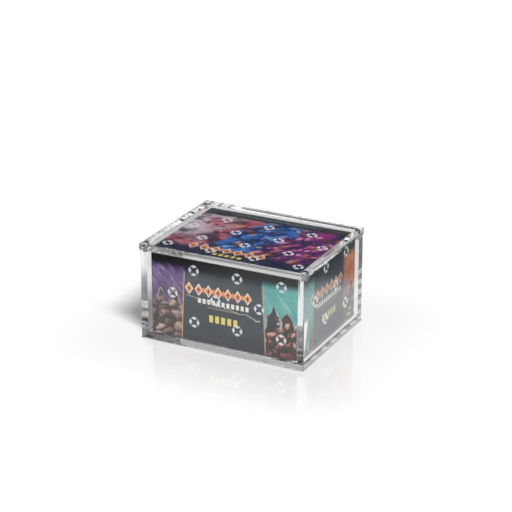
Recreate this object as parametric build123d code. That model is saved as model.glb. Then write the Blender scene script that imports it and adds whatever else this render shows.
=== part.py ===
from build123d import *
import os

# Clear acrylic display case with a magnetic lid, and the sealed carton of card packs it is sized for.
# Millimetres. X is the width, Y the depth with the front at -Y, and Z is up.
# The origin is the centre of the case's footprint, on the underside of its floor panel.

# Card packs, in stacks side by side
pack_width = 65.5
pack_length = 101.7
pack_height = 5.6
pack_edge_chamfer = 1.2
crimp_length = 6.0
crimp_height = 0.6
crimp_teeth = 22
crimp_tooth_depth = 1.0
shoulder_length = 4.0
packs_per_stack = 12
stack_count = 2

# Gaps between the packs and the carton
pack_side_gap = 0.3
pack_front_gap = 0.3
pack_back_gap = 0.4
pack_head_gap = 3.0

# Folded carton
board = 0.6
carton_corner_radius = 0.8
dust_flap_length = 24.0
tuck_flap_depth = 18.0
tuck_flap_side_gap = 1.5
tuck_flap_corner_radius = 6.0
board_clearance = 0.1

# Shrink film round the carton
film = 0.1

# Gaps between the wrapped carton and the case that it stands in loosely
left_gap = 2.9
right_gap = 2.9
front_gap = 1.8
back_gap = 0.9
head_gap = 2.0

# Acrylic sheet of each panel
side_wall = 5.0
end_wall = 5.0
floor_sheet = 5.0
lid_sheet = 5.0
body_corner_radius = 1.0
lid_overhang = 0.7
lid_corner_radius = 1.2
lid_edge_chamfer = 0.35

# Disc magnets let into the lid and into the tops of the side walls
magnet_diameter = 4.0
magnet_height = 3.0
magnet_radial_clearance = 0.05
magnet_recess = 0.1
magnet_inset = 7.5

# Room that the lid's tuck flap takes behind the carton's front wall
flap_room = board_clearance + board + pack_front_gap

# Inside of the carton, one bay for each stack with a divider between
bay_width = pack_width + 2 * pack_side_gap
carton_inner_width = stack_count * bay_width + (stack_count - 1) * board
carton_inner_depth = flap_room + pack_length + pack_back_gap
stack_height = packs_per_stack * pack_height

carton_width = carton_inner_width + 2 * board
carton_depth = carton_inner_depth + 2 * board
tray_height = board + stack_height + pack_head_gap + board
carton_height = tray_height + board

# Case round the wrapped carton
film_width = carton_width + 2 * film
film_depth = carton_depth + 2 * film
film_height = carton_height + 2 * film
inner_width = left_gap + film_width + right_gap
inner_depth = front_gap + film_depth + back_gap
inner_height = film_height + head_gap
case_width = inner_width + 2 * side_wall
case_depth = inner_depth + 2 * end_wall
wall_top = floor_sheet + inner_height
case_height = wall_top + lid_sheet

# Centre and underside of the carton, and where its inside starts
carton_x = -inner_width / 2 + left_gap + film_width / 2
carton_y = -inner_depth / 2 + front_gap + film_depth / 2
carton_z = floor_sheet + film
carton_floor_z = carton_z + board
tray_top_z = carton_z + tray_height
inside_front_y = carton_y - carton_inner_depth / 2
inside_back_y = carton_y + carton_inner_depth / 2
contents_front_y = inside_front_y + flap_room


def block(x_range, y_range, z_range):
    """Box between two values along each axis."""
    sizes = [high - low for low, high in (x_range, y_range, z_range)]
    corner = Pos(x_range[0], y_range[0], z_range[0])
    return corner * Box(*sizes, align=(Align.MIN, Align.MIN, Align.MIN))


def centred(middle, size):
    """Low and high value of a span given by its middle and size."""
    return (middle - size / 2, middle + size / 2)


def round_upright_edges(shape, radius, corners=4):
    """Round the outermost upright edges of a shape."""
    box_centre = shape.bounding_box().center()
    upright = shape.edges().filter_by(Axis.Z)
    outermost = upright.sort_by(lambda edge: (edge.center() - box_centre).length)[-corners:]
    return fillet(outermost, radius)


def magnet_places():
    """Plan positions of the four magnets, on the middle line of each side wall."""
    x_place = case_width / 2 - side_wall / 2
    y_place = case_depth / 2 - magnet_inset
    return [(x, y) for x in (-x_place, x_place) for y in (-y_place, y_place)]


def magnet_pocket(x, y, mouth_z, direction):
    """Blind pocket from its mouth, up or down."""
    depth = magnet_height + magnet_recess
    pocket = Cylinder(magnet_diameter / 2 + magnet_radial_clearance, depth)
    return Pos(x, y, mouth_z + direction * depth / 2) * pocket


def magnet(x, y, mouth_z, direction):
    """Disc magnet seated on the bottom of its pocket."""
    middle = mouth_z + direction * (magnet_recess + magnet_height / 2)
    return Pos(x, y, middle) * Cylinder(magnet_diameter / 2, magnet_height)


def make_floor_panel():
    slab = block(centred(0, case_width), centred(0, case_depth), (0, floor_sheet))
    return round_upright_edges(slab, body_corner_radius)


def make_side_wall(side):
    """Full-depth side wall, side -1 or 1, with a magnet pocket near each end of its top edge."""
    outer_x = side * case_width / 2
    inner_x = side * inner_width / 2
    x_range = (min(outer_x, inner_x), max(outer_x, inner_x))
    wall = block(x_range, centred(0, case_depth), (floor_sheet, wall_top))
    outer_edges = wall.edges().filter_by(Axis.Z).sort_by(Axis.X)
    outer_edges = outer_edges[-2:] if side > 0 else outer_edges[:2]
    wall = fillet(outer_edges, body_corner_radius)
    for x, y in magnet_places():
        if x * side > 0:
            wall -= magnet_pocket(x, y, wall_top, -1)
    return wall


def make_end_wall(side):
    """Front or back wall, side -1 or 1, cemented between the side walls."""
    outer_y = side * case_depth / 2
    inner_y = side * inner_depth / 2
    y_range = (min(outer_y, inner_y), max(outer_y, inner_y))
    return block(centred(0, inner_width), y_range, (floor_sheet, wall_top))


def make_lid_panel():
    """Flat lid with round corners, eased edges and four magnet pockets in its underside."""
    lid_width = case_width + 2 * lid_overhang
    lid_depth = case_depth + 2 * lid_overhang
    slab = block(centred(0, lid_width), centred(0, lid_depth), (wall_top, case_height))
    slab = round_upright_edges(slab, lid_corner_radius)
    rims = slab.edges().group_by(Axis.Z)
    slab = chamfer(rims[0] + rims[-1], lid_edge_chamfer)
    for x, y in magnet_places():
        slab -= magnet_pocket(x, y, wall_top, 1)
    return slab


def make_magnets(direction):
    """Four magnets of the lid (direction 1) or of the walls (direction -1)."""
    discs = [magnet(x, y, wall_top, direction) for x, y in magnet_places()]
    return Compound(children=discs)


def make_carton_tray():
    """Folded tray with its side dust flaps turned in under the lid."""
    outside = block(
        centred(carton_x, carton_width), centred(carton_y, carton_depth), (carton_z, tray_top_z)
    )
    outside = round_upright_edges(outside, carton_corner_radius)
    inside = block(
        centred(carton_x, carton_inner_width),
        (inside_front_y, inside_back_y),
        (carton_floor_z, tray_top_z),
    )
    tray = outside - inside
    flap_y = (contents_front_y, inside_back_y - board_clearance)
    flap_z = (tray_top_z - board, tray_top_z)
    for side in (-1, 1):
        root_x = carton_x + side * (carton_inner_width / 2 + board / 2)
        tip_x = carton_x + side * (carton_inner_width / 2 - dust_flap_length)
        tray += block((min(root_x, tip_x), max(root_x, tip_x)), flap_y, flap_z)
    return tray


def make_carton_lid():
    """Top panel of the carton with the tuck flap behind the front wall."""
    panel = block(
        centred(carton_x, carton_width),
        centred(carton_y, carton_depth),
        (tray_top_z, tray_top_z + board),
    )
    panel = round_upright_edges(panel, carton_corner_radius)
    flap_front_y = inside_front_y + board_clearance
    flap = block(
        centred(carton_x, carton_inner_width - 2 * tuck_flap_side_gap),
        (flap_front_y, flap_front_y + board),
        (tray_top_z - tuck_flap_depth, tray_top_z),
    )
    lower_corners = flap.edges().filter_by(Axis.Y).group_by(Axis.Z)[0]
    return panel + fillet(lower_corners, tuck_flap_corner_radius)


def make_carton_divider(index):
    """Upright card between stack number index and the next one."""
    middle_x = stack_x(index) + bay_width / 2 + board / 2
    return block(
        centred(middle_x, board),
        (contents_front_y, inside_back_y - board_clearance),
        (carton_floor_z, tray_top_z - board - board_clearance),
    )


def make_shrink_film():
    """Closed film skin that lies on every face of the carton."""
    outside = block(
        centred(carton_x, film_width),
        centred(carton_y, film_depth),
        (floor_sheet, floor_sheet + film_height),
    )
    outside = round_upright_edges(outside, carton_corner_radius + film)
    inside = block(
        centred(carton_x, carton_width),
        centred(carton_y, carton_depth),
        (carton_z, carton_z + carton_height),
    )
    return outside - round_upright_edges(inside, carton_corner_radius)


def stack_x(index):
    """Middle of stack number index along X."""
    return carton_x + (index - (stack_count - 1) / 2) * (bay_width + board)


def crimp_outline():
    """Plan outline of a pack, with a zigzag cut across each crimped end."""
    half_length = pack_length / 2
    tooth = pack_width / crimp_teeth
    front_end = []
    for index in range(crimp_teeth):
        left = -pack_width / 2 + index * tooth
        front_end.append((left, -half_length + crimp_tooth_depth))
        front_end.append((left + tooth / 2, -half_length))
    front_end.append((pack_width / 2, -half_length + crimp_tooth_depth))
    back_end = [(-x, -y) for x, y in front_end]
    return Polygon(*front_end, *back_end, align=None)


def make_pack():
    """Pillow pack with flat crimped ends, its middle at the origin."""
    half_length = pack_length / 2
    crimp_root = half_length - crimp_length
    shoulder_end = crimp_root - shoulder_length
    quarter = [
        (half_length, crimp_height / 2),
        (crimp_root, crimp_height / 2),
        (shoulder_end, pack_height / 2),
    ]
    upper = quarter + [(-y, z) for y, z in reversed(quarter)]
    profile = upper + [(y, -z) for y, z in reversed(upper)]
    section = Plane.YZ * Polygon(*profile, align=None)
    body = extrude(section, pack_width / 2, both=True)
    long_edges = body.edges().filter_by(Axis.X, reverse=True).filter_by(Axis.Y)
    flat_edges = long_edges.filter_by(lambda edge: abs(edge.center().Z) > pack_height / 2 - 0.01)
    body = chamfer(flat_edges, pack_edge_chamfer)
    return body & extrude(crimp_outline(), pack_height / 2, both=True)


def make_packs():
    """Every pack by name, stacked from the carton's floor."""
    pack = make_pack()
    middle_y = contents_front_y + pack_length / 2
    packs = {}
    for stack in range(stack_count):
        for level in range(packs_per_stack):
            middle_z = carton_floor_z + (level + 0.5) * pack_height
            name = f"card_pack_{stack + 1}_{level + 1:02d}"
            packs[name] = Pos(stack_x(stack), middle_y, middle_z) * pack
    return packs


def make_parts():
    """Every piece of the case and of the carton by name."""
    parts = {
        "floor_panel": make_floor_panel(),
        "left_wall": make_side_wall(-1),
        "right_wall": make_side_wall(1),
        "front_wall": make_end_wall(-1),
        "back_wall": make_end_wall(1),
        "wall_magnets": make_magnets(-1),
        "lid_panel": make_lid_panel(),
        "lid_magnets": make_magnets(1),
        "shrink_film": make_shrink_film(),
        "carton_tray": make_carton_tray(),
        "carton_lid": make_carton_lid(),
    }
    for index in range(stack_count - 1):
        parts[f"carton_divider_{index + 1}"] = make_carton_divider(index)
    parts.update(make_packs())
    return parts


os.makedirs("parts", exist_ok=True)
for name, shape in make_parts().items():
    export_step(shape, f"parts/{name}.step")
print(f"case {case_width:.1f} x {case_depth:.1f} x {case_height:.1f} mm")
print(f"carton {carton_width:.1f} x {carton_depth:.1f} x {carton_height:.1f} mm")
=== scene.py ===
import math

import bmesh
import bpy
from mathutils import Matrix, Vector, noise
from mathutils.bvhtree import BVHTree


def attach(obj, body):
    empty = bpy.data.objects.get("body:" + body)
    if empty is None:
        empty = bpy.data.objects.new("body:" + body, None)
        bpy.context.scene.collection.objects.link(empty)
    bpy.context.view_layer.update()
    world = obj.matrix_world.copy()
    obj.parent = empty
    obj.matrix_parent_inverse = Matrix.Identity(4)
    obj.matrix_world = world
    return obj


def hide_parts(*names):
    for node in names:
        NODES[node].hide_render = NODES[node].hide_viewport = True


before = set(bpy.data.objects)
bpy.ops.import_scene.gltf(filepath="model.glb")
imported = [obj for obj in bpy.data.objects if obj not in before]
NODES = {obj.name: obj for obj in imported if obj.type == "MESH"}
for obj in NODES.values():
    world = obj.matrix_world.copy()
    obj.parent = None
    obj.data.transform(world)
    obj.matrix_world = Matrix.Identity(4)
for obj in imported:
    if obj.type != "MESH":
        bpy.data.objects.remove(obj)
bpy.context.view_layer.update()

# Clear display case with the sealed carton of card packs inside it.
# Metres, front at -Y, Z up. Sizes below are in millimetres, as in the part's source.

MM = 0.001

CASE_WIDTH = 150.0
CASE_DEPTH = 117.2
SHEET = 5.0
WALL_TOP = 79.2
JOINT_AIR = 0.03
EDGE_WAVE = 0.03
TOUCHING = 0.01

# Carton, its place in the case, and the width of the painted panels at its corners
CARTON_WIDTH = 134.0
CARTON_DEPTH = 104.3
CARTON_HEIGHT = 72.0
CARTON_X = 0.0
CARTON_Y = 0.45
CARTON_Z = 5.1
PANEL_FRONT = 30.0
PANEL_END = 22.0

# Film, its cells, and its small lifts off the carton
FILM = 0.1
FILM_CELL = 2.0
FILM_CORNER = 0.85
FILM_EDGE = 0.25
FILM_AIR = 0.02
PUCKER = 0.16
PUCKER_REACH = 5.0
RIPPLE = 0.03

# Marks printed on the film, in staggered rows
MARK_PITCH = 40.0
MARK_ROW = 23.0
MARK_ACROSS = -7.0
MARK_UP = 3.0
MARK_MARGIN = 6.0
MARK_RADIUS = 3.5
LOZENGE_LENGTH = 5.8
LOZENGE_WIDTH = 3.0
MARK_INK = 0.01
INK_BACK = 0.6 * MARK_INK
INK_FACE = 1.6 * MARK_INK

# Camera, fitted to the case's corners
CAMERA_AZIMUTH = math.radians(26.75)
CAMERA_ELEVATION = math.radians(21.68)
CAMERA_DISTANCE = 1.5536
CAMERA_ASIDE = 0.00275
CAMERA_RAISED = 0.0611
CAMERA_LENS_MM = 128.4
SENSOR_MM = 36.0

# Sun, and the levels of the white room for rays that come from the sheets
SUN_STRENGTH = 3.55
SUN_SPREAD = math.radians(16)
SUN_TOWARDS = Vector((0.55, -0.33, 0.77))
ROOM_FILL = 0.18
MIRRORED_FRONT = 0.7
MIRRORED_BACK = 0.06
EDGE_LEFT = 0.85
EDGE_RIGHT = 0.42
EDGE_HIGH = 0.6

# Bounces that tell a ray through one sheet from rays led along the sheets
ONE_SHEET = 2.5
LED_ALONG = 6.5
LED_FAR = 7.5

# Floor
FLOOR_BELOW = 0.3
VARNISH_BELOW = 0.1
FLOOR_HALF_M = 6.0
FLOOR_WHITE = 0.93
# Painted contact shade round the case's footprint: its level, and how far it reaches
CONTACT_SHADE = 0.45
CONTACT_REACH = 1.6
FLOOR_GLOW = 0.085
FLOOR_MIRROR = 0.27
FLOOR_MIRROR_REACH = 110.0

# Floor beyond the lamp's reach, as the sheets see it
LIT_FLOOR_NEAR = 146.0
LIT_FLOOR_FAR = 163.0
LIT_FLOOR_SHIFT_X = 30.0
LIT_FLOOR_SHIFT_Y = 15.0
UNLIT_BACK = 0.28
UNLIT_RIGHT = 0.1

# Light led down through the walls onto the floor under them
UNDER_WALLS = 2.6
UNDER_RIM = 0.8
UNDER_CORNERS = 0.4
RIGHT_RIM = 9.0


def ink(red, green, blue):
    """A printed colour, from its screen values."""
    def linear(level):
        part = level / 255
        return part / 12.92 if part <= 0.04045 else ((part + 0.055) / 1.055) ** 2.4
    return (linear(red), linear(green), linear(blue), 1)


WHITE = (1, 1, 1, 1)
BLACK = ink(9, 10, 13)
SLATE = ink(34, 50, 62)
SLATE_LOW = ink(14, 25, 37)
NAVY = ink(4, 22, 54)
PALE = ink(238, 234, 228)
GOLD = ink(186, 150, 98)
YELLOW = ink(226, 208, 104)
ORANGE = ink(224, 106, 44)
AMBER = ink(236, 168, 76)
FIBRE = ink(186, 180, 168)
CORE = ink(206, 200, 188)
MOSS_DARK = ink(30, 30, 22)
MOSS_PALE = ink(140, 134, 92)
MIST = ink(214, 204, 216)
SMOKE = ink(96, 104, 110)
SAGE = ink(120, 150, 140)

# Painted fields, each from its darks to its glints. The tray's lie at its upright edges.
SKIES = {
    "front_left": (ink(16, 12, 26), ink(46, 28, 68), ink(92, 62, 122), ink(176, 156, 204)),
    "front_right": (ink(34, 112, 114), ink(52, 142, 140), ink(80, 166, 160), ink(140, 200, 192)),
    "back_left": (ink(12, 24, 62), ink(26, 72, 140), ink(66, 130, 192), ink(180, 208, 228)),
    "back_right": (ink(84, 30, 22), ink(164, 68, 38), ink(216, 118, 66), ink(242, 194, 144)),
}
ROCKS = {
    "front_left": (ink(17, 14, 18), ink(70, 50, 48), ink(146, 108, 100), ink(218, 194, 176)),
    "front_right": (ink(10, 9, 13), ink(36, 25, 30), ink(112, 40, 50), ink(230, 188, 160)),
    "back_left": (ink(18, 14, 30), ink(76, 34, 70), ink(150, 64, 98), ink(228, 184, 196)),
    "back_right": (ink(16, 20, 20), ink(58, 62, 58), ink(124, 120, 106), ink(214, 206, 186)),
}
CRIMSON = (ink(32, 14, 28), ink(108, 28, 52), ink(192, 98, 118), ink(238, 216, 222))
BLUE = (ink(8, 15, 44), ink(18, 54, 124), ink(48, 118, 194), ink(190, 210, 224))
VIOLET = (ink(20, 13, 54), ink(80, 28, 108), ink(168, 46, 126), ink(226, 184, 210))
EMBER = (ink(44, 22, 20), ink(128, 66, 46), ink(206, 136, 96), ink(244, 214, 184))
FOILS = {
    "violet": (ink(40, 20, 66), ink(96, 50, 128), ink(190, 150, 206)),
    "teal": (ink(12, 58, 66), ink(40, 132, 136), ink(170, 214, 206)),
    "crimson": (ink(70, 14, 26), ink(160, 44, 60), ink(224, 170, 160)),
}


class Value:
    """A number in a material's nodes; arithmetic on it adds Math nodes."""

    def __init__(self, tree, socket):
        self.tree = tree
        self.socket = socket

    def math(self, operation, *terms):
        node = self.tree.nodes.new("ShaderNodeMath")
        node.operation = operation
        for slot, term in zip(node.inputs, (self, *terms)):
            fill(self.tree, slot, term)
        return Value(self.tree, node.outputs[0])

    def __add__(self, other):
        return self.math("ADD", other)

    def __sub__(self, other):
        return self.math("SUBTRACT", other)

    def __rsub__(self, other):
        return (self * -1.0) + other

    def __mul__(self, other):
        return self.math("MULTIPLY", other)

    def __truediv__(self, other):
        return self.math("DIVIDE", other)

    def __lt__(self, other):
        return self.math("LESS_THAN", other)

    def __gt__(self, other):
        return self.math("GREATER_THAN", other)

    def __and__(self, other):
        return self.math("MINIMUM", other)

    def __or__(self, other):
        return self.math("MAXIMUM", other)

    def size(self):
        return self.math("ABSOLUTE")

    def sign(self):
        return self.math("SIGN")

    def zigzag(self, pitch):
        """Goes from 0 to half the pitch and back, over and over."""
        return self.math("PINGPONG", pitch / 2)


def fill(tree, socket, value):
    """Gives a socket a constant, or a link from a Value or another socket."""
    if isinstance(value, Value):
        tree.links.new(value.socket, socket)
    elif isinstance(value, bpy.types.NodeSocket):
        tree.links.new(value, socket)
    else:
        socket.default_value = value


def add_node(tree, kind, inputs, **choices):
    """Adds a node, with its choices made and its inputs filled."""
    node = tree.nodes.new(kind)
    for name, choice in choices.items():
        setattr(node, name, choice)
    for name, value in inputs.items():
        fill(tree, node.inputs[name], value)
    return node


class Finish:
    """The nodes of one material or world."""

    def __init__(self, owner):
        owner.use_nodes = True
        self.owner = owner
        self.tree = owner.node_tree
        self.tree.nodes.clear()

    def add(self, kind, inputs=None, **choices):
        return add_node(self.tree, "ShaderNode" + kind, inputs or {}, **choices)

    def value(self, node, output=0):
        return Value(self.tree, node.outputs[output])

    def split(self, socket):
        parts = self.add("SeparateXYZ", {0: socket})
        return [self.value(parts, axis) for axis in range(3)]

    def point(self, x, y, z=0.0):
        return self.add("CombineXYZ", {0: x, 1: y, 2: z}).outputs[0]

    def grey(self, level):
        return self.point(level, level, level)

    def millimetres(self):
        """Object coordinates as three numbers in millimetres."""
        place = self.add("TexCoord").outputs["Object"]
        return [axis * 1000.0 for axis in self.split(place)]

    def normal(self):
        return self.split(self.add("TexCoord").outputs["Normal"])

    def light_path(self, name):
        return self.value(self.add("LightPath"), name)

    def by_sheets(self):
        """1 for rays that a sheet has mirrored or let through."""
        return self.light_path("Is Glossy Ray") | self.light_path("Is Transmission Ray")

    def shading(self):
        """1 for rays of shadow and soft light, which cross clear things straight."""
        return self.light_path("Is Shadow Ray") | self.light_path("Is Diffuse Ray")

    def step(self, value, low, high, start=0.0, end=1.0):
        """Eases from start to end as the value goes from low to high."""
        inputs = {"Value": value, "From Min": low, "From Max": high, "To Min": start, "To Max": end}
        return self.value(self.add("MapRange", inputs, interpolation_type="SMOOTHSTEP"))

    def pick(self, choice, no, yes):
        """The number no where the choice is 0, the number yes where it is 1."""
        return self.value(self.add("Mix", {0: choice, 2: no, 3: yes}))

    def noise(self, place, scale, detail=3.0, distortion=0.0):
        inputs = {"Vector": place, "Scale": scale, "Detail": detail, "Distortion": distortion}
        return self.value(self.add("TexNoise", inputs), "Fac")

    def cells(self, place, scale, output="Color", **choices):
        node = self.add("TexVoronoi", {"Vector": place, "Scale": scale}, **choices)
        return self.value(node, output)

    def ramp(self, factor, *stops):
        """Colours at places from 0 to 1 along the factor."""
        node = self.add("ValToRGB", {0: factor})
        points = node.color_ramp.elements
        while len(points) < len(stops):
            points.new(0.5)
        for point, (place, color) in zip(points, stops):
            point.position = place
            point.color = color
        return node.outputs["Color"]

    def over(self, color, mask, top):
        """Lays the colour top over another where the mask is 1."""
        node = self.add("Mix", {0: mask, 6: color, 7: top}, data_type="RGBA")
        return node.outputs[2]

    def bump(self, height, distance):
        return self.add("Bump", {"Height": height, "Distance": distance}).outputs[0]

    def mix(self, factor, first, second):
        return self.add("MixShader", {0: factor, 1: first, 2: second}).outputs[0]

    def principled(self, **inputs):
        named = {name.replace("_", " "): value for name, value in inputs.items()}
        return self.add("BsdfPrincipled", named).outputs[0]

    def surface(self, shader):
        kind = "OutputWorld" if isinstance(self.owner, bpy.types.World) else "OutputMaterial"
        self.add(kind, {"Surface": shader})
        return self.owner


def material(name):
    return Finish(bpy.data.materials.new(name))


# Camera, lights and floor

def camera_axes():
    """Right, up and back directions of the camera."""
    sin_a, cos_a = math.sin(CAMERA_AZIMUTH), math.cos(CAMERA_AZIMUTH)
    sin_e, cos_e = math.sin(CAMERA_ELEVATION), math.cos(CAMERA_ELEVATION)
    back = Vector((sin_a * cos_e, -cos_a * cos_e, sin_e))
    right = Vector((cos_a, sin_a, 0))
    return right, back.cross(right), back


def add_camera():
    right, up, back = camera_axes()
    data = bpy.data.cameras.new("camera")
    data.lens = CAMERA_LENS_MM
    data.sensor_width = SENSOR_MM
    data.sensor_fit = "HORIZONTAL"
    camera = bpy.data.objects.new("camera", data)
    camera.location = back * CAMERA_DISTANCE + right * CAMERA_ASIDE + up * CAMERA_RAISED
    camera.rotation_euler = back.to_track_quat("Z", "Y").to_euler()
    bpy.context.scene.collection.objects.link(camera)
    bpy.context.scene.camera = camera


def add_world():
    """White room. In the sheets it is darker at the back, and at the right where they lead its light."""
    world = bpy.data.worlds.new("studio")
    bpy.context.scene.world = world
    finish = Finish(world)
    x, y, z = finish.split(finish.add("TexCoord").outputs["Generated"])
    led_along = finish.light_path("Is Transmission Ray") & (finish.light_path("Ray Depth") > LED_ALONG)
    off_floor = finish.by_sheets() & (finish.light_path("Transparent Depth") > 1.5)
    mirrored = finish.step(y, -0.4, 0.7, MIRRORED_FRONT, MIRRORED_BACK)
    across = finish.step(x, -0.3, 0.3, EDGE_LEFT, EDGE_RIGHT)
    edge_light = across * finish.step(z, 0.365, 0.405, 1.0, EDGE_HIGH)
    level = finish.pick(finish.by_sheets(), ROOM_FILL, mirrored)
    level = finish.pick(led_along, level, edge_light)
    level = finish.pick(off_floor, level, 1.0)
    room = finish.add("Background", {"Strength": level}).outputs[0]
    seen = finish.add("Background", {"Strength": 1.0}).outputs[0]
    finish.surface(finish.mix(finish.light_path("Is Camera Ray"), room, seen))


def add_sun():
    data = bpy.data.lights.new("sun", "SUN")
    data.energy = SUN_STRENGTH
    data.angle = SUN_SPREAD
    sun = bpy.data.objects.new("sun", data)
    sun.rotation_euler = SUN_TOWARDS.to_track_quat("Z", "Y").to_euler()
    bpy.context.scene.collection.objects.link(sun)


def outside_case(x, y):
    """Distance from the case's footprint along the floor."""
    beyond_x = (x.size() - CASE_WIDTH / 2) | 0.0
    beyond_y = (y.size() - CASE_DEPTH / 2) | 0.0
    return (beyond_x * beyond_x + beyond_y * beyond_y).math("SQRT")


def floor_finish():
    """White floor with painted contact shade round the case, and a fading mirror image of the case. The
    sheets see only its lit part.
    """
    finish = material("floor")
    finish.owner.cycles.emission_sampling = "NONE"
    x, y, z = finish.millimetres()
    far = outside_case(x, y)
    # Painted contact shade: the floor is darker within CONTACT_REACH of the case's footprint.
    white_with_painted_contact_shade = finish.step(far, 0.0, CONTACT_REACH, CONTACT_SHADE, FLOOR_WHITE)
    paint = finish.add("BsdfDiffuse", {"Color": finish.grey(white_with_painted_contact_shade)}).outputs[0]
    strength = finish.light_path("Is Camera Ray") * FLOOR_GLOW + led_light(finish, x, y, far)
    glow = finish.add("Emission", {"Strength": strength}).outputs[0]
    matt = finish.add("AddShader", {0: paint, 1: glow}).outputs[0]
    dark = finish.add("BsdfDiffuse", {"Color": finish.grey(unlit_level(finish, x, y))}).outputs[0]
    matt = finish.mix(unlit(finish, x, y), matt, dark)
    mirror = finish.add("BsdfGlossy", {"Roughness": 0.0}).outputs[0]
    shine = finish.step(far, 0.0, FLOOR_MIRROR_REACH, FLOOR_MIRROR, 0.0)
    return finish.surface(finish.mix(shine, matt, mirror))


def led_light(finish, x, y, far):
    """Light led down onto the floor under the walls, as the sheets show it."""
    inner_width = CASE_WIDTH / 2 - SHEET
    under_box = (x.size() < inner_width) & (y.size() < CASE_DEPTH / 2 - SHEET)
    right_rim = under_box & (x > inner_width - RIGHT_RIM)
    along = finish.step(y, -57.0, -50.0, 0.3, 1.0) * finish.step(y, 45.0, 54.0, 1.0, 1.6)
    back_right = (x > 62.0) & (y > 45.0)
    front_corner = (x.size() > 66.0) & (y < -40.0)
    level = finish.pick(back_right, along * UNDER_WALLS, UNDER_RIM)
    level = finish.pick(front_corner, level, UNDER_CORNERS)
    level = finish.pick(under_box, level, right_rim * UNDER_RIM)
    return level * ((far < TOUCHING) & finish.light_path("Is Transmission Ray"))


def unlit(finish, x, y):
    """1 where the sheets see floor that the lamp doesn't reach; one sheet alone shows it lit."""
    depth = finish.light_path("Ray Depth")
    from_lamp = outside_case(x + LIT_FLOOR_SHIFT_X, y - LIT_FLOOR_SHIFT_Y)
    far_corner = finish.step(x + y, 200.0, 290.0)
    beyond = finish.step(from_lamp, LIT_FLOOR_NEAR, LIT_FLOOR_FAR) | far_corner
    behind = (y > 60.0) & (x < 60.0) & (depth < LED_ALONG)
    one_sheet = finish.light_path("Is Transmission Ray") & (depth < ONE_SHEET)
    back_left = finish.step(y, 98.0, 132.0, 1.0, 0.0) & (y > 75.0) & (x < -20.0)
    left_wall_sees = back_left & (depth > LED_FAR)
    return finish.by_sheets() * (beyond * (1.0 - (behind | one_sheet)) | left_wall_sees)


def unlit_level(finish, x, y):
    """How pale the unlit floor is: dark at the right, and in front paler from left to right."""
    in_front = finish.step(x, -150.0, -30.0, 0.05, 0.45)
    level = finish.pick(y < -60.0, UNLIT_BACK, in_front)
    return finish.pick(x > CASE_WIDTH / 2, level, UNLIT_RIGHT)


def varnish_finish():
    """Clear layer; the room tells by it which rays come off the floor."""
    finish = material("floor_varnish")
    return finish.surface(finish.add("BsdfTransparent").outputs[0])


def add_floor(name, below, finish):
    """A wide square, a little below the case."""
    mesh = bpy.data.meshes.new(name)
    half = FLOOR_HALF_M
    corners = [(-half, -half), (half, -half), (half, half), (-half, half)]
    mesh.from_pydata([(x, y, -below * MM) for x, y in corners], [], [(0, 1, 2, 3)])
    mesh.materials.append(finish)
    floor = bpy.data.objects.new(name, mesh)
    bpy.context.scene.collection.objects.link(floor)


# Finishes of the case

def cemented(finish):
    """1 on the faces where the floor and the walls are cemented. The front wall's right end is dry."""
    x, y, z = finish.millimetres()
    beyond_x = x.size() > CASE_WIDTH / 2 - SHEET - TOUCHING
    beyond_y = y.size() > CASE_DEPTH / 2 - SHEET - TOUCHING
    on_floor = (z - SHEET).size() < TOUCHING
    on_side = (x.size() - (CASE_WIDTH / 2 - SHEET)).size() < TOUCHING
    dry = (x > 0.0) & (y < 0.0)
    return (on_floor & (beyond_x | beyond_y)) | (on_side & beyond_y & (1.0 - dry))


def clear_sheet(finish, face_axis, wave_scale, depth, color):
    """Clear acrylic whose big faces look along one axis; its cut edges are polished a little wavy."""
    place = finish.add("TexCoord").outputs["Object"]
    cut_edge = 1.0 - finish.normal()[face_axis].size()
    waves = finish.noise(place, wave_scale, 2.0, 0.6)
    marks = finish.noise(place, 900.0, 2.0)
    height = (waves + marks * 0.08) * cut_edge * depth
    return finish.principled(
        Base_Color=color, Roughness=0.0, IOR=1.49, Transmission_Weight=1.0,
        Normal=finish.bump(height, EDGE_WAVE * MM))


def case_acrylic(name, face_axis):
    """A sheet of the case. Light crosses its cemented joints straight."""
    finish = material(name)
    z = finish.millimetres()[2]
    depth = finish.step(finish.normal()[2].size(), 0.2, 0.8, 1.0, 0.4)
    depth = depth * finish.step(z, WALL_TOP - 2.0, WALL_TOP - 0.1, 1.0, 0.2)
    sheet = clear_sheet(finish, face_axis, 210.0, depth, WHITE)
    joint = cemented(finish)
    tint = finish.pick(joint & (1.0 - finish.shading()), 1.0, joint_tint(finish))
    clear = finish.add("BsdfTransparent", {"Color": finish.grey(tint)}).outputs[0]
    return finish.surface(finish.mix(finish.shading() | joint, sheet, clear))


def joint_tint(finish):
    """How clear a cemented joint is.

    The level one has cloudy swirls. It dims light at the right, and light that rises at the left.
    """
    place = finish.add("TexCoord").outputs["Object"]
    x, y, z = finish.millimetres()
    up = finish.normal()[2]
    at_right = x > CASE_WIDTH / 2 - SHEET
    at_left = (x < SHEET - CASE_WIDTH / 2) & (y > -40.0)
    clearest = finish.pick(at_right, 1.0, 0.62)
    clearest = finish.pick((up < -0.5) & at_left, clearest, 0.5)
    rear = finish.step(y, -20.0, 0.0, 0.0, 0.75) * clearest
    cloudiest = finish.step(x.size(), 35.0, 55.0, 0.75, 0.15) | rear
    swirls = finish.noise(place, 160.0, 4.0, 1.8)
    level_joint = finish.step(swirls, 0.42, 0.56, clearest, cloudiest)
    return finish.pick(up.size() > 0.5, 0.95, level_joint)


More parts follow.
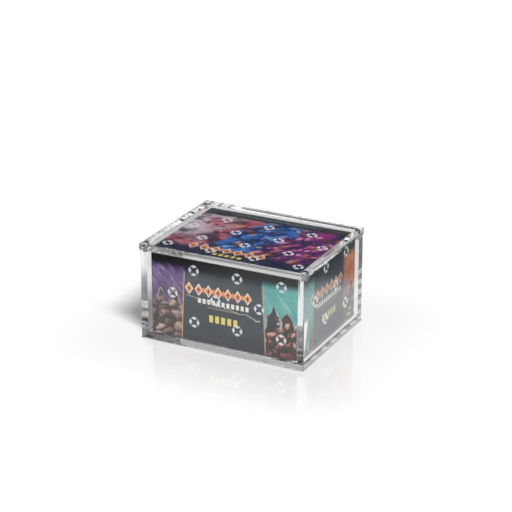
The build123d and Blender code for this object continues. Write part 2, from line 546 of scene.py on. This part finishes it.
def lid_acrylic():
    """The lid's sheet, with finer waves on its cut edges, and painted shade that greys it a little at
    its left edge.
    """
    finish = material("acrylic_lid")
    x, y, z = finish.millimetres()
    depth = finish.step(x - y * 0.5, -60.0, -30.0, 0.03, 0.12)
    # Painted shade: the sheet's colour greys towards its left edge.
    rim = finish.step(x, -73.0, -60.0, 0.8, 1.0)
    sheet = clear_sheet(finish, 2, 600.0, depth, finish.grey(rim))
    clear = finish.add("BsdfTransparent").outputs[0]
    return finish.surface(finish.mix(finish.shading(), sheet, clear))


def nickel_finish():
    """Nickel plating of the magnets, a little uneven."""
    finish = material("magnet_nickel")
    place = finish.point(*finish.millimetres())
    grain = finish.noise(place, 2.5, 4.0)
    color = finish.ramp(grain, (0.2, ink(168, 168, 174)), (0.8, ink(214, 213, 210)))
    roughness = finish.step(grain, 0.3, 0.7, 0.16, 0.34)
    height = finish.noise(place, 6.0, 2.0)
    return finish.surface(finish.principled(
        Base_Color=color, Metallic=1.0, Roughness=roughness, Normal=finish.bump(height, 0.01 * MM)))


# Print of the carton

def carton_place(finish):
    """Millimetres from the middle of the carton's base."""
    x, y, z = finish.millimetres()
    return x - CARTON_X, y - CARTON_Y, z - CARTON_Z


def centred(across, pitch, reach):
    """1 within the copies of a repeat whose own middles lie within the reach."""
    middle = (across / pitch).math("ROUND") * pitch
    return middle.size() < reach


def lozenge_row(across, up, middle, pitch, wide, tall):
    """0 at the middle of each lozenge of a row, 1 on its outline."""
    return across.zigzag(pitch) / wide + (up - middle).size() / tall


def lay_frieze(finish, color, across, up, middle, reach, scale=1.0):
    """A band of orange lozenges with pale rims, and small ones between them."""
    pitch = 9.0 * scale
    half_height = 5.0 * scale
    shifted = across + pitch / 2
    near = centred(shifted, pitch, reach)
    big = lozenge_row(shifted, up, middle, pitch, 3.9 * scale, 5.5 * scale)
    small = lozenge_row(across, up, middle, pitch, 1.6 * scale, 3.0 * scale)
    small = (small < 1.0) & centred(across, pitch, reach - pitch)
    height = finish.step(up, middle - half_height, middle + half_height)
    warm = finish.ramp(height, (0.0, ORANGE), (1.0, AMBER))
    color = finish.over(color, (big < 1.0) & near, PALE)
    color = finish.over(color, (big < 0.78) & near, warm)
    color = finish.over(color, (big < 0.3) & near, SLATE)
    return finish.over(color, small, warm)


def lay_dashes(finish, color, across, line, pitch, reach, ink_color):
    """A row of dashes; the line is how far the point is from it, from 0 to 1 at its edge."""
    dash = (across.zigzag(pitch) < pitch * 0.32) & centred(across, pitch, reach)
    return finish.over(color, dash & (line < 1.0), ink_color)


def band(up, middle, tall):
    """How far a height is from the middle of a band, 1 at the band's edge."""
    return (up - middle).size() / (tall / 2)


def painted(finish, shade, colors):
    """Colours of one painted field, from its darks to its glints."""
    return finish.ramp(shade, *zip((0.14, 0.34, 0.53, 0.74), colors))


def by_corner(finish, right, back, shade, palettes):
    """One of four painted fields, by the upright edge that is nearest."""
    fields = {corner: painted(finish, shade, colors) for corner, colors in palettes.items()}
    front = finish.over(fields["front_left"], right, fields["front_right"])
    rear = finish.over(fields["back_left"], right, fields["back_right"])
    return finish.over(front, back, rear)


def boulders(finish, place, scale):
    """Shade of heaped round stones, lit from the upper left, with dark seams between them."""
    towards_light = finish.add("VectorMath", {0: place, 1: (-0.18 / scale, 0.24 / scale, 0.0)})
    here = finish.cells(place, scale, "Distance")
    beyond = finish.cells(towards_light.outputs[0], scale, "Distance")
    edge = finish.cells(place, scale, "Distance", feature="DISTANCE_TO_EDGE")
    tone = finish.cells(place, scale)
    grain = finish.noise(place, scale * 5.0, 4.0, 1.2)
    seams = finish.step(edge, 0.0, 0.16, 0.6, 1.0)
    return ((beyond - here) * 0.8 + tone * 0.24 + grain * 0.5 + 0.06) * seams


def bare_board(finish):
    """Colour and relief of uncoated grey fibre."""
    place = finish.add("TexCoord").outputs["Object"]
    fibre = finish.noise(place, 2600.0, 3.0)
    return finish.ramp(fibre, (0.3, FIBRE), (0.7, CORE)), finish.bump(fibre, 0.01 * MM)


def printed_board(finish, color, printed):
    """Coated board: the colour where it is printed, bare fibre elsewhere."""
    bare, relief = bare_board(finish)
    return finish.surface(finish.principled(
        Base_Color=finish.over(bare, printed, color), Roughness=finish.pick(printed, 0.75, 0.5),
        IOR=1.35, Normal=relief))


def tray_print():
    """Print of the carton's four sides; each corner has its own painted panel. The narrow sides carry
    painted shade.
    """
    finish = material("printed_tray")
    u, v, w = carton_place(finish)
    nx, ny, nz = finish.normal()
    end_face = nx.size() > 0.7
    across = finish.pick(end_face, u * ny.sign() * -1.0, v * nx.sign())
    half = finish.pick(end_face, CARTON_WIDTH / 2, CARTON_DEPTH / 2)
    seed = finish.pick(end_face, ny.sign() * 40.0, nx.sign() * 90.0)

    color = centre_field(finish, across, w, seed)
    edge = half - across.size()
    wide = finish.pick(end_face, PANEL_FRONT, PANEL_END)
    border = edge - wide - (w - 36.0) * 0.05
    color = finish.over(color, border < 0.0, corner_panel(finish, u, v, w, across, seed, end_face))
    color = finish.over(color, (border.size() < 0.5) & (w < 60.0), GOLD)
    color = finish.over(color, finish.step(w, 58.0, 66.0), BLACK)
    color = lay_ornament(finish, color, across, w)
    # Painted shade: the narrow sides are dulled towards slate, as if less lit.
    color = finish.over(color, finish.pick(end_face, 0.0, 0.4), SLATE)

    outward = nx * u + ny * v + nz * (w - 36.0)
    skin = (u.size() > CARTON_WIDTH / 2 - 0.9) | (v.size() > CARTON_DEPTH / 2 - 0.9) | (w < 0.05)
    return printed_board(finish, color, (outward > 0.0) & skin)


def centre_field(finish, across, up, seed):
    """Slate between the panels, with faint smoke drifting through it."""
    drift = finish.noise(finish.point(across, up, seed), 0.05, 3.0) - 0.5
    color = finish.ramp(up / CARTON_HEIGHT + drift * 0.15, (0.0, SLATE_LOW), (0.65, SLATE))
    smoke = finish.noise(finish.point(across * 0.03, up * 0.07, seed), 1.0, 4.0, 1.0)
    return finish.over(color, finish.step(smoke, 0.45, 0.8, 0.0, 0.2), SMOKE)


def corner_panel(finish, u, v, up, across, seed, end_face):
    """Streaked sky over a ridge of stones and spires."""
    lean = finish.point(across * 0.9 + up * 0.75, (up - across) * 0.16, across.sign() * 50.0)
    streaks = finish.noise(lean, 0.34, 4.0, 0.5)
    place = finish.point(across, up, seed)
    glow = finish.noise(place, 0.045, 2.0)
    sky = by_corner(finish, u > 0.0, v > 0.0, streaks * 0.65 + glow * 0.4, SKIES)
    wobble = finish.noise(place, 0.07, 3.0) - 0.5
    bent = finish.point(across + wobble * 16.0, up * 1.2 - wobble * 12.0, seed)
    stones = boulders(finish, bent, 0.11)
    rocks = by_corner(finish, u > 0.0, v > 0.0, stones, ROCKS)
    moss = finish.step(finish.noise(place, 0.16, 4.0, 0.8), 0.5, 0.62, 0.0, 0.6) * (u < 0.0)
    rocks = finish.over(rocks, moss, finish.ramp(stones, (0.3, MOSS_DARK), (0.7, MOSS_PALE)))
    spires = across.zigzag(13.0) * 2.3 + across.zigzag(5.4) * 1.3
    foot = finish.pick(end_face, 26.0, finish.step(v, -10.0, 10.0, 4.0, 22.0))
    ridge = wobble * 34.0 + spires + foot
    rim = (up - ridge).size() < 0.45
    color = finish.over(sky, up < ridge, rocks)
    return finish.over(color, rim, finish.over(color, 0.55, PALE))


def lay_ornament(finish, color, across, up):
    """Frieze, rules and plaque of the centre field."""
    color = lay_frieze(finish, color, across, up, 46.0, 28.0)
    color = lay_dashes(finish, color, across, band(up, 36.5, 4.2), 4.4, 24.0, PALE)
    color = lay_dashes(finish, color, across, band(up, 31.6, 0.9), 2.2, 15.0, GOLD)
    return lay_dashes(finish, color, across, band(up, 22.0, 6.2), 5.6, 12.0, YELLOW)


def top_print():
    """Print of the carton's top: three leaning painted fields between dark margins."""
    finish = material("printed_top")
    u, v, w = carton_place(finish)
    wobble = finish.noise(finish.point(u, v), 0.05, 3.0) - 0.5
    color = top_fields(finish, u, v, wobble)
    front = finish.step(v + wobble * 14.0, -38.0, -29.0, 1.0, 0.0)
    rear = finish.step(v + wobble * 9.0, 38.0, 42.0)
    color = finish.over(color, front, NAVY)
    color = finish.over(color, rear, SLATE_LOW)
    color = lay_frieze(finish, color, u + 2.0, v, -33.5, 32.0, 1.15)
    color = lay_dashes(finish, color, u + 2.0, band(v, -43.5, 4.4), 5.6, 12.0, YELLOW)
    color = lay_dashes(finish, color, u, band(v, 46.0, 0.9), 3.0, 40.0, SAGE)
    return printed_board(finish, color, w > CARTON_HEIGHT - 0.05)


def top_fields(finish, u, v, wobble):
    """Streaks of coloured light with heaps of stones in front, dark hollows, mist and glints."""
    lean = u - v * 0.35 + wobble * 40.0
    streaks = finish.noise(finish.point(u * 0.35 + v * 0.9, v * 0.3 - u * 0.12, 5.0), 0.16, 4.0, 0.6)
    glow = finish.noise(finish.point(u, v, 21.0), 0.04, 2.0)
    stones = boulders(finish, finish.point(u + wobble * 30.0, v * 1.3 - u * 0.35 + wobble * 24.0), 0.085)
    heap_place = finish.point(u * 0.8 + v * 0.4, v * 1.2 - u * 0.3, 9.0)
    heap = finish.step(finish.noise(heap_place, 0.05, 3.0, 0.4), 0.47, 0.52)
    shade = finish.pick(heap, streaks * 0.55 + glow * 0.45, stones)
    fields = [painted(finish, shade, colors) for colors in (CRIMSON, BLUE, VIOLET, EMBER)]
    color = finish.over(fields[0], finish.step(lean, -24.0, -18.0), fields[1])
    color = finish.over(color, finish.step(lean, 16.0, 24.0), fields[2])
    warm = finish.step(finish.noise(finish.point(u, v * 1.4, 33.0), 0.06, 2.0), 0.54, 0.6)
    color = finish.over(color, warm * heap, fields[3])
    mist_shape = finish.step(finish.noise(finish.point(u, v * 1.5, 15.0), 0.045, 3.0), 0.36, 0.56)
    mist = finish.step(wobble * 40.0 - u + v * 0.3, 22.0, 58.0, 0.0, 0.85) * mist_shape
    color = finish.over(color, mist, MIST)
    hollow = finish.noise(finish.point(u, v * 1.2, 41.0), 0.055, 3.0, 0.5)
    color = finish.over(color, finish.step(hollow, 0.5, 0.62, 0.0, 0.85), NAVY)
    sparks = finish.noise(finish.point(u, v * 1.3, 51.0), 0.45, 2.0)
    return finish.over(color, finish.step(sparks, 0.68, 0.74, 0.0, 0.8) * heap, PALE)


def plain_board():
    """Uncoated board of the divider."""
    finish = material("plain_board")
    color, relief = bare_board(finish)
    return finish.surface(finish.principled(
        Base_Color=color, Roughness=0.75, IOR=1.35, Normal=relief))


def wrapper_finish(foil):
    """Printed foil of a card pack, with its own colours in soft slanting fields."""
    finish = material("pack_wrapper_" + foil)
    x, y, z = finish.millimetres()
    dark, middle, light = FOILS[foil]
    wave = finish.noise(finish.point(x * 0.6 + y * 0.5, y * 0.8 - x * 0.4, z * 0.3), 0.06, 4.0, 1.5)
    facet = finish.cells(finish.point(x, y, z * 0.2), 0.12)
    color = finish.ramp(wave * 0.7 + facet * 0.3, (0.25, dark), (0.5, middle), (0.75, light))
    crease = finish.noise(finish.point(x, y * 0.4, z), 0.5, 3.0)
    roughness = finish.step(crease, 0.3, 0.7, 0.22, 0.4)
    return finish.surface(finish.principled(
        Base_Color=color, Metallic=0.6, Roughness=roughness, Normal=finish.bump(crease, 0.08 * MM)))


# Shrink film

def film_finish():
    """Thin clear film with a gloss, fine shrink lines, a weld, and painted highlights: a pale line along
    a crease and a gleam.
    """
    finish = material("shrink_film")
    u, v, w = carton_place(finish)
    pulled = finish.noise(finish.point(u * 0.5, v * 0.5, w * 1.6), 0.5, 3.0, 0.8)
    gathers = finish.noise(finish.point(u, v, w), 1.3, 3.0, 0.5)
    wander = finish.noise(finish.point(u, w), 0.12, 3.0) - 0.5
    # Painted highlight: a pale line along a crease across the front.
    crease = (w - 34.0 + u * 0.16 + wander * 9.0).size()
    on_front = (v < 0.0) & (u.size() < 34.0)
    weld_and_painted_highlights = finish.step(crease, 0.15, 0.45, 1.0, 0.0) * on_front
    weld_and_painted_highlights = (weld_and_painted_highlights | film_weld(finish, u, v, wander)) * 0.7 | corner_gleam(finish, u, v, w)
    height = pulled * 0.7 + gathers * 0.3
    normal = finish.bump(height, 0.03 * MM)
    gloss = finish.add("BsdfGlossy", {"Roughness": 0.08, "Normal": normal}).outputs[0]
    clear = finish.add("BsdfTransparent").outputs[0]
    # Pale colour of the weld and of the painted highlights.
    weld_and_highlight_white = finish.add("BsdfDiffuse", {"Color": PALE}).outputs[0]
    sheen = finish.value(finish.add("Fresnel", {"IOR": 1.25, "Normal": normal}))
    film = finish.mix(sheen * (1.0 - finish.shading()), clear, gloss)
    return finish.surface(finish.mix(weld_and_painted_highlights, film, weld_and_highlight_white))


def film_weld(finish, u, v, wander):
    """The film's welded seam, down the middle of the back."""
    away = (u - 3.0 + wander * 2.0).size()
    return finish.step(away, 0.25, 0.55, 1.0, 0.0) * (v > CARTON_DEPTH / 2 - 0.5)


def corner_gleam(finish, u, v, w):
    """Light in the gathered film low on the right side, next to its front edge."""
    from_edge = v + CARTON_DEPTH / 2
    tapered = finish.step(from_edge - w * 0.24, 3.0, 5.5, 1.0, 0.0)
    on_side = (u > CARTON_WIDTH / 2 - 0.5) & (from_edge > 1.0)
    return tapered * finish.step(w, 29.0, 35.0, 0.9, 0.0) * on_side


def mark_finish():
    """Pale ink, with painted shade that makes it a little greyer on the upright sides."""
    finish = material("film_ink")
    grain = finish.noise(finish.point(*finish.millimetres()), 1.6, 3.0)
    # Painted shade: faces that look up get the paler ink, upright ones the greyer.
    tone = grain * 0.4 + finish.normal()[2].size() * 0.6
    color = finish.ramp(tone, (0.1, ink(206, 208, 214)), (0.8, ink(250, 249, 247)))
    return finish.surface(finish.principled(Base_Color=color, Roughness=0.45))


def link_piece(name, mesh, finish, body, slot, *stands_for):
    """Adds a piece that rides on a body, in place of the CAD nodes it stands for."""
    mesh.materials.clear()
    mesh.materials.append(finish)
    piece = bpy.data.objects.new(name, mesh)
    bpy.context.scene.collection.objects.link(piece)
    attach(piece, body)
    if stands_for:
        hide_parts(*stands_for)
    return piece


def film_skin():
    """Box of film round the carton, cut into small cells and drawn in at its edges."""
    shape = bmesh.new()
    size = (CARTON_WIDTH + 2 * FILM, CARTON_DEPTH + 2 * FILM, CARTON_HEIGHT + FILM)
    low = (-size[0] / 2, -size[1] / 2, 0.0)
    bmesh.ops.create_cube(shape, size=1.0)
    for vertex in shape.verts:
        vertex.co = Vector(low[i] + (vertex.co[i] + 0.5) * size[i] for i in range(3))
    upright = [edge for edge in shape.edges if abs(edge.verts[0].co.z - edge.verts[1].co.z) > 1]
    bmesh.ops.bevel(shape, geom=upright, offset=FILM_CORNER, segments=3, profile=0.5, affect="EDGES")
    flat = [edge for edge in shape.edges if is_rim(edge, size[2])]
    bmesh.ops.bevel(shape, geom=flat, offset=FILM_EDGE, segments=2, profile=0.5, affect="EDGES")
    for axis in range(3):
        cut_cells(shape, axis, low[axis], size[axis])
    return shape


def is_rim(edge, height):
    """True on the edges round the top and the base."""
    heights = [vertex.co.z for vertex in edge.verts]
    return max(heights) < 0.001 or min(heights) > height - 0.001


def cut_cells(shape, axis, low, length):
    """Cuts the faces across one axis into cells of equal length."""
    count = round(length / FILM_CELL)
    direction = Vector([1.0 if i == axis else 0.0 for i in range(3)])
    for number in range(1, count):
        place = direction * (low + length * number / count)
        geometry = shape.verts[:] + shape.edges[:] + shape.faces[:]
        bmesh.ops.bisect_plane(shape, geom=geometry, plane_co=place, plane_no=direction, dist=1e-4)


def edge_distance(place):
    """Distance to the nearest edge of the carton, along its faces."""
    gaps = [CARTON_WIDTH / 2 - abs(place.x), CARTON_DEPTH / 2 - abs(place.y)]
    gaps.append(min(place.z, CARTON_HEIGHT - place.z))
    return sorted(max(gap, 0.0) for gap in gaps)[1]


def shrink(shape):
    """Lifts the film in small puckers, strongest near the edges."""
    shape.normal_update()
    lifts = {}
    for vertex in shape.verts:
        near = math.exp(-edge_distance(vertex.co) / PUCKER_REACH)
        pucker = abs(noise.noise(vertex.co * 0.22)) * PUCKER * near
        ripple = noise.noise(vertex.co * 0.07 + Vector((9, 4, 2))) * RIPPLE
        lifts[vertex] = vertex.normal * (pucker + ripple + FILM_AIR)
    for vertex, lift in lifts.items():
        vertex.co += lift
        vertex.co.z = max(vertex.co.z, 0.0)


def add_film(finish):
    """The film as one skin, just clear of the case's floor."""
    shape = film_skin()
    shrink(shape)
    place = Vector((CARTON_X, CARTON_Y, CARTON_Z - FILM + FILM_AIR))
    shape.transform(Matrix.Scale(MM, 4) @ Matrix.Translation(place))
    mesh = bpy.data.meshes.new("film_skin")
    shape.to_mesh(mesh)
    shape.free()
    mesh.shade_smooth()
    return link_piece("film_skin", mesh, finish, "sealed_carton", "shrink_film", "shrink_film")


def film_surface(film):
    """Search tree over the film's faces."""
    shape = bmesh.new()
    shape.from_mesh(film.data)
    tree = BVHTree.FromBMesh(shape)
    shape.free()
    return tree


def mark_places():
    """Where each mark lies on the carton, and the direction it faces, in staggered rows."""
    half = Vector((CARTON_WIDTH / 2, CARTON_DEPTH / 2, CARTON_HEIGHT / 2))
    middle = Vector((CARTON_X, CARTON_Y, CARTON_Z + half.z))
    places = []
    for face, (axis, side) in enumerate([(1, -1), (1, 1), (0, -1), (0, 1), (2, 1), (2, -1)]):
        across, up = [(1, 2), (0, 2), (0, 1)][axis]
        facing = Vector([side if i == axis else 0 for i in range(3)])
        for row in range(-3, 4):
            for column in range(-3, 4):
                shift = 0.5 * (row % 2) + 0.17 * face
                point = facing * half[axis]
                point[across] = (column + shift) * MARK_PITCH + MARK_ACROSS
                point[up] = (row + 0.05 * face) * MARK_ROW + MARK_UP
                fits = [abs(point[i]) < half[i] - MARK_MARGIN for i in (across, up)]
                if all(fits):
                    places.append((middle + point, facing))
    return places


def mark_ports(tree):
    """Gives the tree its inputs and its output, and returns the inputs' identifiers by name."""
    kinds = {"Geometry": "Geometry", "Mark radius": "Float", "Lozenge length": "Float",
             "Lozenge width": "Float", "Ink thickness": "Float", "Ink": "Material"}
    ports = {}
    for name, kind in kinds.items():
        port = tree.interface.new_socket(name, in_out="INPUT", socket_type="NodeSocket" + kind)
        ports[name] = port.identifier
    tree.interface.new_socket("Geometry", in_out="OUTPUT", socket_type="NodeSocketGeometry")
    return ports


def mark_tree():
    """Node tree that sets a mark of four lozenges on every point, facing the point's own way."""
    tree = bpy.data.node_groups.new("film_marks", "GeometryNodeTree")
    ports = mark_ports(tree)
    given = tree.nodes.new("NodeGroupInput").outputs

    def add(kind, inputs, **choices):
        return add_node(tree, kind, inputs, **choices).outputs[0]

    disc = add("GeometryNodeMeshCircle", {"Vertices": 4, "Radius": 0.5}, fill_type="NGON")
    size = add("ShaderNodeCombineXYZ", {
        "X": given["Lozenge length"], "Y": given["Lozenge width"], "Z": 1.0})
    lozenge = add("GeometryNodeTransform", {"Geometry": disc, "Scale": size})
    raised = add("GeometryNodeExtrudeMesh", {"Mesh": lozenge, "Offset Scale": given["Ink thickness"]})
    ring = add("GeometryNodeMeshCircle", {"Vertices": 4, "Radius": given["Mark radius"]})
    outward = add("GeometryNodeInputPosition", {})
    turn = add("FunctionNodeAlignRotationToVector", {"Vector": outward}, axis="Y", pivot_axis="Z")
    mark = add("GeometryNodeInstanceOnPoints", {"Points": ring, "Instance": raised, "Rotation": turn})
    facing = add("GeometryNodeInputNamedAttribute", {"Name": "facing"}, data_type="FLOAT_VECTOR")
    stand = add("FunctionNodeAlignRotationToVector", {"Vector": facing}, axis="Z")
    marks = add("GeometryNodeInstanceOnPoints", {
        "Points": given["Geometry"], "Instance": mark, "Rotation": stand})
    solid = add("GeometryNodeRealizeInstances", {"Geometry": marks})
    inked = add("GeometryNodeSetMaterial", {"Geometry": solid, "Material": given["Ink"]})
    result = tree.nodes.new("NodeGroupOutput")
    tree.links.new(inked, result.inputs[0])
    return tree, ports


def add_marks(film, finish):
    """Marks printed on the film: four lozenges each, laid onto its puckered surface."""
    places = mark_places()
    points = bpy.data.meshes.new("mark_points")
    points.from_pydata([place * MM for place, facing in places], [], [])
    facings = points.attributes.new("facing", "FLOAT_VECTOR", "POINT")
    for number, (place, facing) in enumerate(places):
        facings.data[number].vector = facing
    holder = bpy.data.objects.new("mark_points", points)
    bpy.context.scene.collection.objects.link(holder)
    modifier = holder.modifiers.new("marks", "NODES")
    modifier.node_group, ports = mark_tree()
    modifier[ports["Mark radius"]] = MARK_RADIUS * MM
    modifier[ports["Lozenge length"]] = LOZENGE_LENGTH * MM
    modifier[ports["Lozenge width"]] = LOZENGE_WIDTH * MM
    modifier[ports["Ink thickness"]] = MARK_INK * MM
    modifier[ports["Ink"]] = finish
    evaluated = holder.evaluated_get(bpy.context.evaluated_depsgraph_get())
    mesh = bpy.data.meshes.new_from_object(evaluated)
    holder.modifiers.remove(modifier)
    bpy.data.objects.remove(holder)
    lay_on_film(mesh, film_surface(film))
    return link_piece("film_marks", mesh, finish, "sealed_carton", "shrink_film")


def lay_on_film(mesh, film_faces):
    """Moves the marks onto the film: their backs just above it, their faces a little higher."""
    half = Vector((CARTON_WIDTH, CARTON_DEPTH, CARTON_HEIGHT)) / 2
    middle = Vector((CARTON_X, CARTON_Y, CARTON_Z + half.z))
    for vertex in mesh.vertices:
        over_carton = max(abs(gap) - reach for gap, reach in zip(vertex.co / MM - middle, half))
        place, normal, face, distance = film_faces.find_nearest(vertex.co)
        lift = INK_FACE if over_carton > MARK_INK / 2 else INK_BACK
        vertex.co = place + normal * lift * MM


# The lid and the front wall

def drawn_in(name, node, axis, shift, at_joint):
    """Mesh of a CAD panel whose vertices at the joint are moved along one axis."""
    mesh = bpy.data.meshes.new(name)
    shape = bmesh.new()
    shape.from_mesh(NODES[node].data)
    bmesh.ops.remove_doubles(shape, verts=shape.verts, dist=1e-6)
    for vertex in shape.verts:
        if at_joint(vertex.co):
            vertex.co[axis] += shift
    shape.to_mesh(mesh)
    shape.free()
    return mesh


def on_walls(place):
    """True on the lid's underside."""
    return place.z < WALL_TOP * MM + 1e-6


def at_right_end(place):
    """True on the front wall's right end."""
    return place.x > 0


def add_lid(finish):
    """The lid with a hairline of air between it and the walls."""
    mesh = drawn_in("case_lid", "lid_panel", 2, JOINT_AIR * MM, on_walls)
    return link_piece("case_lid", mesh, finish, "lid", "clear_acrylic", "lid_panel")


def add_front_wall(finish):
    """The front wall with a hairline of air at its right end."""
    mesh = drawn_in("case_front", "front_wall", 0, -JOINT_AIR * MM, at_right_end)
    return link_piece("case_front", mesh, finish, "case", "clear_acrylic", "front_wall")


def dress(finish, *names):
    """Gives CAD nodes their finish."""
    for name in names:
        NODES[name].data.materials.clear()
        NODES[name].data.materials.append(finish)


add_camera()
add_world()
add_sun()
add_floor("floor", FLOOR_BELOW, floor_finish())
add_floor("floor_varnish", VARNISH_BELOW, varnish_finish())

dress(case_acrylic("acrylic_floor", 2), "floor_panel")
dress(case_acrylic("acrylic_side", 0), "left_wall", "right_wall")
end_sheet = case_acrylic("acrylic_end", 1)
dress(end_sheet, "back_wall")
add_front_wall(end_sheet)
add_lid(lid_acrylic())
dress(nickel_finish(), "wall_magnets", "lid_magnets")
dress(tray_print(), "carton_tray")
dress(top_print(), "carton_lid")
dress(plain_board(), "carton_divider_1")
wrappers = [wrapper_finish(foil) for foil in FOILS]
for stack in (1, 2):
    for number in range(1, 13):
        dress(wrappers[(number + stack) % 3], f"card_pack_{stack}_{number:02d}")
film = add_film(film_finish())
add_marks(film, mark_finish())

scene = bpy.context.scene
scene.view_settings.view_transform = "Standard"
scene.cycles.max_bounces = 64
scene.cycles.glossy_bounces = 64
scene.cycles.transmission_bounces = 64
scene.cycles.transparent_max_bounces = 64
